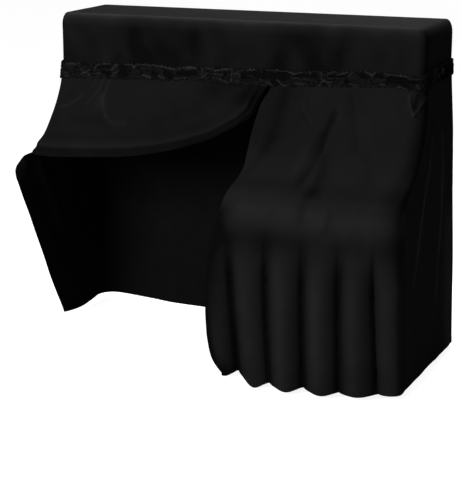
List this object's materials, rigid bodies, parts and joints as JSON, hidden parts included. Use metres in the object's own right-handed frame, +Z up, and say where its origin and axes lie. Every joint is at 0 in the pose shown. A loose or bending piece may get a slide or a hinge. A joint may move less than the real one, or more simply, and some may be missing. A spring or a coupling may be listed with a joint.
{
  "type": "piano cover",
  "caption": "Full-length black velvet cover for an upright piano, ruched band below its top, left front drawn up over the keyboard arm, right front hanging in folds to the floor",
  "frame": {"origin": "the middle of the underside of the top panel, where the cover bears on the piano's lid", "axes": "+X to the right as seen from the front, along the keyboard; -Y towards the player; +Z up"},
  "size_m": [1.6384, 0.8463, 1.3264],
  "materials": {
    "black_velvet": "short-pile black velvet, matt with a soft sheen at grazing angles",
    "ruched_velvet": "the same black velvet gathered into a crinkled strip"
  },
  "bodies": {
    "root": {"top_panel": "black_velvet", "fascia_front": "black_velvet", "fascia_right": "black_velvet", "fascia_back": "black_velvet", "fascia_left": "black_velvet", "trim_band": "ruched_velvet", "curtain_right": "black_velvet", "curtain_left": "black_velvet", "side_right": "black_velvet", "side_left": "black_velvet", "back_panel": "black_velvet"}
  },
  "joints": []
}
